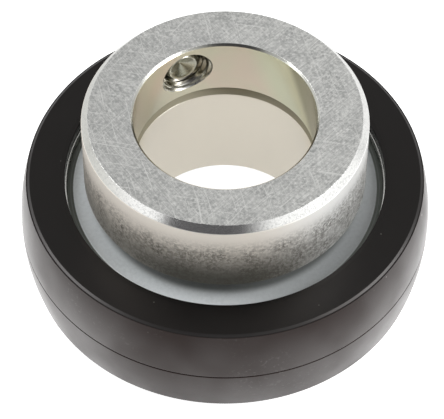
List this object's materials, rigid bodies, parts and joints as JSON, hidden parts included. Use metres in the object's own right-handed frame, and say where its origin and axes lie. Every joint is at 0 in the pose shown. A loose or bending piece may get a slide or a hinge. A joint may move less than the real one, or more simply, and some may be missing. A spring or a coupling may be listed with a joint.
{
  "type": "insert bearing",
  "caption": "Insert ball bearing in a crowned rubber ring, with a tall eccentric locking collar and a grub screw that hold it on a shaft.",
  "frame": {"origin": "on the bearing's axis, in the lower face of the rubber ring, which the part stands on", "axes": "+Z along the bearing's axis towards the locking collar; +X in the direction in which the journal is offset at rest"},
  "size_m": [0.0806, 0.0806, 0.0409],
  "materials": {
    "interliner_rubber": "satin black moulded rubber",
    "seal_rubber": "matt black nitrile rubber",
    "bearing_steel": "ground hardened steel",
    "zinc_collar": "turned and zinc plated, finely scratched",
    "zinc_sheet": "pressed sheet, bluish zinc plating",
    "cage_polyamide": "moulded polyamide",
    "screw_steel": "dark hardened steel"
  },
  "bodies": {
    "outer": {"outer_ring": "bearing_steel", "rubber_interliner": "interliner_rubber", "upper_seal_outer_washer": "zinc_sheet", "upper_seal_lip": "seal_rubber", "upper_seal_inner_washer": "zinc_sheet", "lower_seal_outer_washer": "zinc_sheet", "lower_seal_lip": "seal_rubber", "lower_seal_inner_washer": "zinc_sheet"},
    "inner": {"inner_ring": "bearing_steel"},
    "cage": {"ball_cage": "cage_polyamide"},
    "ball_body_1": {"ball_1": "bearing_steel"},
    "ball_body_2": {"ball_2": "bearing_steel"},
    "ball_body_3": {"ball_3": "bearing_steel"},
    "ball_body_4": {"ball_4": "bearing_steel"},
    "ball_body_5": {"ball_5": "bearing_steel"},
    "ball_body_6": {"ball_6": "bearing_steel"},
    "ball_body_7": {"ball_7": "bearing_steel"},
    "ball_body_8": {"ball_8": "bearing_steel"},
    "ball_body_9": {"ball_9": "bearing_steel"},
    "collar": {"locking_collar": "zinc_collar"},
    "screw": {"grub_screw": "screw_steel"}
  },
  "joints": [
    {"name": "inner_ring_spin", "type": "hinge", "parent": "outer", "child": "inner", "pos_m": [0, 0, 0.01141], "axis": [0, 0, 1], "continuous": true},
    {"name": "cage_orbit", "type": "hinge", "parent": "outer", "child": "cage", "pos_m": [0, 0, 0.01141], "axis": [0, 0, 1], "continuous": true},
    {"name": "ball_1_roll", "type": "hinge", "parent": "cage", "child": "ball_body_1", "pos_m": [0.02675, 0, 0.01141], "axis": [0, 0, 1], "continuous": true},
    {"name": "ball_2_roll", "type": "hinge", "parent": "cage", "child": "ball_body_2", "pos_m": [0.02049, 0.01719, 0.01141], "axis": [0, 0, 1], "continuous": true},
    {"name": "ball_3_roll", "type": "hinge", "parent": "cage", "child": "ball_body_3", "pos_m": [0.00464, 0.02634, 0.01141], "axis": [0, 0, 1], "continuous": true},
    {"name": "ball_4_roll", "type": "hinge", "parent": "cage", "child": "ball_body_4", "pos_m": [-0.01337, 0.02316, 0.01141], "axis": [0, 0, 1], "continuous": true},
    {"name": "ball_5_roll", "type": "hinge", "parent": "cage", "child": "ball_body_5", "pos_m": [-0.02513, 0.00915, 0.01141], "axis": [0, 0, 1], "continuous": true},
    {"name": "ball_6_roll", "type": "hinge", "parent": "cage", "child": "ball_body_6", "pos_m": [-0.02513, -0.00915, 0.01141], "axis": [0, 0, 1], "continuous": true},
    {"name": "ball_7_roll", "type": "hinge", "parent": "cage", "child": "ball_body_7", "pos_m": [-0.01337, -0.02316, 0.01141], "axis": [0, 0, 1], "continuous": true},
    {"name": "ball_8_roll", "type": "hinge", "parent": "cage", "child": "ball_body_8", "pos_m": [0.00464, -0.02634, 0.01141], "axis": [0, 0, 1], "continuous": true},
    {"name": "ball_9_roll", "type": "hinge", "parent": "cage", "child": "ball_body_9", "pos_m": [0.02049, -0.01719, 0.01141], "axis": [0, 0, 1], "continuous": true},
    {"name": "collar_turn", "type": "hinge", "parent": "inner", "child": "collar", "pos_m": [0, 0, 0.02761], "axis": [0, 0, 1], "range_deg": [-18, 18]},
    {"name": "grub_screw_travel", "type": "slide", "parent": "collar", "child": "screw", "axis": [-0.4384, 0.8988, 0], "range_m": [-0.0014, 0.004]}
  ],
  "couplings": [
    {"joint": "cage_orbit", "follows": "inner_ring_spin", "ratio": 0.39613},
    {"joint": "ball_1_roll", "follows": "inner_ring_spin", "ratio": -2.3029},
    {"joint": "ball_2_roll", "follows": "inner_ring_spin", "ratio": -2.3029},
    {"joint": "ball_3_roll", "follows": "inner_ring_spin", "ratio": -2.3029},
    {"joint": "ball_4_roll", "follows": "inner_ring_spin", "ratio": -2.3029},
    {"joint": "ball_5_roll", "follows": "inner_ring_spin", "ratio": -2.3029},
    {"joint": "ball_6_roll", "follows": "inner_ring_spin", "ratio": -2.3029},
    {"joint": "ball_7_roll", "follows": "inner_ring_spin", "ratio": -2.3029},
    {"joint": "ball_8_roll", "follows": "inner_ring_spin", "ratio": -2.3029},
    {"joint": "ball_9_roll", "follows": "inner_ring_spin", "ratio": -2.3029}
  ]
}
